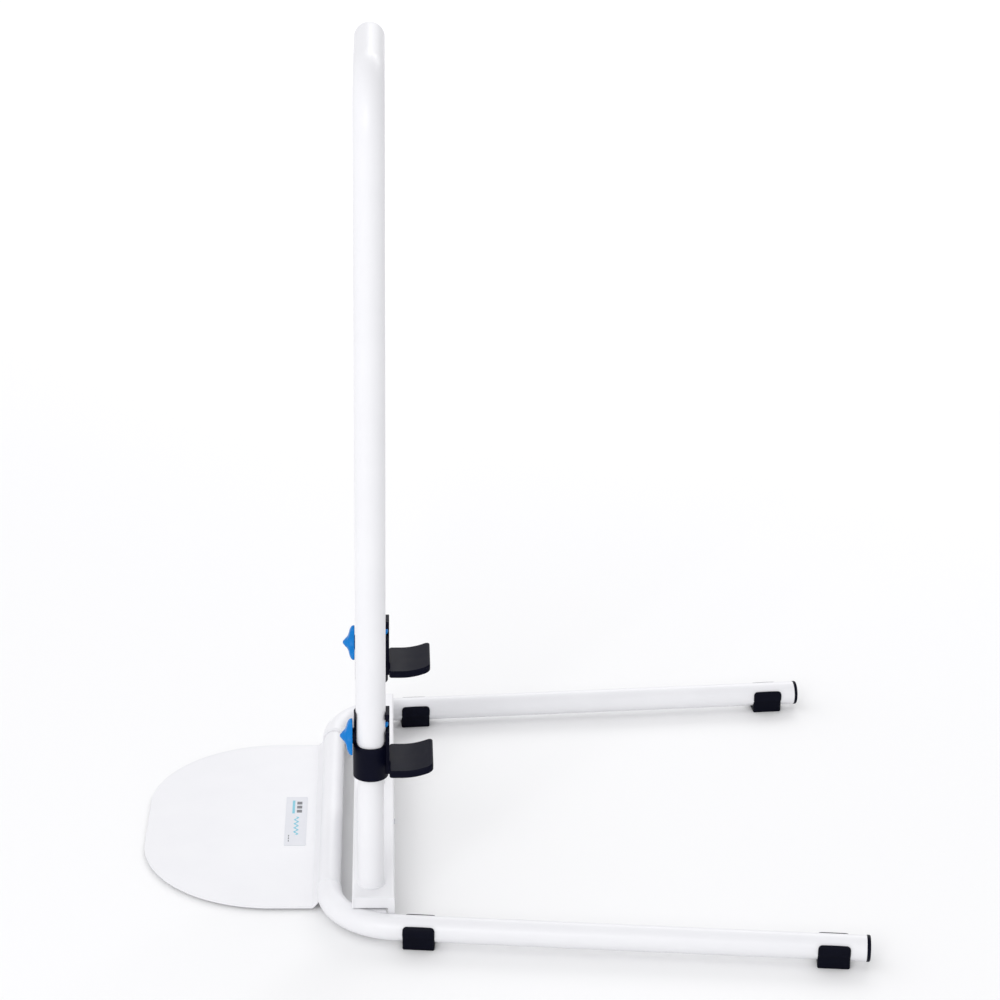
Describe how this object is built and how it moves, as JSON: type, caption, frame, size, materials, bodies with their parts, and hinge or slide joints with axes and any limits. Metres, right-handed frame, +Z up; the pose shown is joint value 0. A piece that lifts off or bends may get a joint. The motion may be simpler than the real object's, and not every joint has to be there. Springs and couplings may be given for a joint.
{
  "type": "bed assist rail",
  "caption": "Floor-standing bed assist rail: inverted-U handle on telescopic posts, clamp brackets with ledges, splayed legs that go under the bed and a D-shaped stand-on plate.",
  "frame": {"origin": "on the floor at the middle of the footprint", "axes": "+X towards the bed along the legs, +Y along the bed, +Z up"},
  "size_m": [0.791, 0.6538, 0.954],
  "materials": {
    "white_powder_coat": "white powder coat, satin gloss",
    "black_nylon": "moulded black nylon, fine texture",
    "black_foot_plastic": "moulded black soft plastic",
    "blue_plastic": "moulded blue plastic, satin",
    "zinc_steel": "zinc plated",
    "spring_steel": "spring wire",
    "brass": "turned",
    "pad_rubber": "self-adhesive pad",
    "label_film": "printed film, pale grey"
  },
  "bodies": {
    "base": {"lower_post_near": "white_powder_coat", "lower_post_far": "white_powder_coat", "post_weld_beads": "white_powder_coat", "crossbar": "white_powder_coat", "crossbar_saddle_near": "white_powder_coat", "crossbar_saddle_far": "white_powder_coat", "crossbar_rivet": "zinc_steel", "cross_tube": "white_powder_coat", "leg_near": "white_powder_coat", "leg_far": "white_powder_coat", "stand_plate": "white_powder_coat", "plate_pads": "pad_rubber", "plate_label": "label_film", "leg_plug_near": "black_nylon", "leg_plug_far": "black_nylon", "foot_near_inner": "black_foot_plastic", "foot_near_outer": "black_foot_plastic", "foot_far_inner": "black_foot_plastic", "foot_far_outer": "black_foot_plastic", "post_glide_near": "black_nylon", "post_glide_far": "black_nylon", "snap_spring_near": "spring_steel", "snap_spring_far": "spring_steel"},
    "handle": {"handle_loop": "white_powder_coat", "bracket_near": "black_nylon", "bracket_far": "black_nylon", "threaded_insert_near": "brass", "threaded_insert_far": "brass"},
    "clamp_knob_near": {"knob_near": "blue_plastic", "knob_stud_near": "zinc_steel"},
    "clamp_knob_far": {"knob_far": "blue_plastic", "knob_stud_far": "zinc_steel"},
    "button_near": {"snap_button_near": "blue_plastic"},
    "button_far": {"snap_button_far": "blue_plastic"}
  },
  "joints": [
    {"name": "handle_height", "type": "slide", "parent": "base", "child": "handle", "axis": [0, 0, 1], "range_m": [-0.12, 0]},
    {"name": "knob_turn_near", "type": "hinge", "parent": "handle", "child": "clamp_knob_near", "pos_m": [-0.136, -0.219, 0.226], "axis": [-1, 0, 0], "range_deg": [-540, 540]},
    {"name": "button_press_near", "type": "slide", "parent": "base", "child": "button_near", "axis": [-1, 0, 0], "range_m": [0, 0.0048], "stiffness_N_per_m": 1500, "springref_m": -0.002, "deforming": ["snap_spring_near"]},
    {"name": "knob_turn_far", "type": "hinge", "parent": "handle", "child": "clamp_knob_far", "pos_m": [-0.136, 0.017, 0.226], "axis": [-1, 0, 0], "range_deg": [-30, 900]},
    {"name": "button_press_far", "type": "slide", "parent": "base", "child": "button_far", "axis": [-1, 0, 0], "range_m": [0, 0.0048], "stiffness_N_per_m": 1500, "springref_m": -0.002, "deforming": ["snap_spring_far"]}
  ]
}
